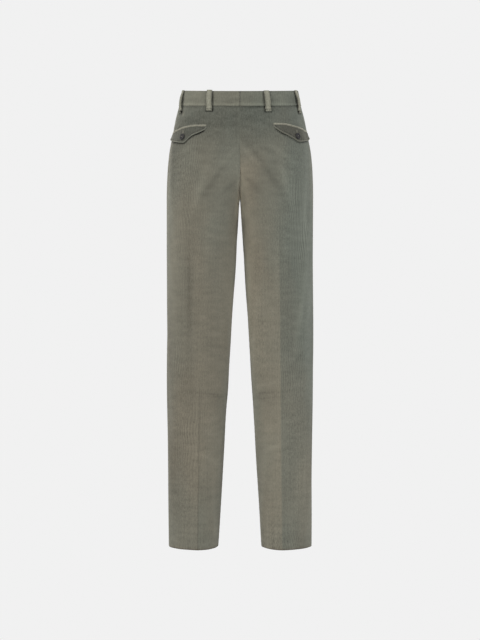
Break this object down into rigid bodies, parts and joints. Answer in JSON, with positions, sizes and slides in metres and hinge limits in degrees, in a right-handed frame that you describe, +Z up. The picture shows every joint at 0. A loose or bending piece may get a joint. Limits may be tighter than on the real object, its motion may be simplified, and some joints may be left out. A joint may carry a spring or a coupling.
{
  "type": "pleated corduroy trousers",
  "caption": "Pleated trousers in fine ribbed velvet corduroy, hollow as if worn, with a belt-looped waistband, flapped back pockets and pressed legs.",
  "frame": {"origin": "middle of the waist opening, level with its top edge at the sides", "axes": "+Z up towards the waist, -Y the way the wearer faces, +X towards the wearer's left"},
  "size_m": [0.3503, 0.2454, 1.0936],
  "materials": {
    "corduroy": "fine-wale cotton corduroy, grey-green, soft nap with a pale sheen",
    "waistband_corduroy": "fine-wale cotton corduroy, a shade paler, nap brushed across",
    "pocket_corduroy": "fine-wale cotton corduroy, a shade darker, edge stitched",
    "zip_tape": "woven tape, matt",
    "horn": "dark horn, satin polish"
  },
  "bodies": {
    "root": {"back_left": "corduroy", "back_right": "corduroy", "front_left": "corduroy", "front_right": "corduroy", "fly_placket": "corduroy", "waistband_left": "waistband_corduroy", "waistband_right": "waistband_corduroy", "belt_loop_back_left": "waistband_corduroy", "belt_loop_back_right": "waistband_corduroy", "belt_loop_side_left": "waistband_corduroy", "belt_loop_side_right": "waistband_corduroy", "belt_loop_front_left": "waistband_corduroy", "belt_loop_front_right": "waistband_corduroy", "waist_tab": "waistband_corduroy", "pocket_welt_left": "pocket_corduroy", "pocket_welt_right": "pocket_corduroy", "pocket_flap_left": "pocket_corduroy", "pocket_flap_right": "pocket_corduroy", "side_pocket_left": "pocket_corduroy", "side_pocket_right": "pocket_corduroy", "pocket_button_left": "horn", "pocket_button_right": "horn", "waist_button": "horn", "fly_zip": "zip_tape"}
  },
  "joints": []
}
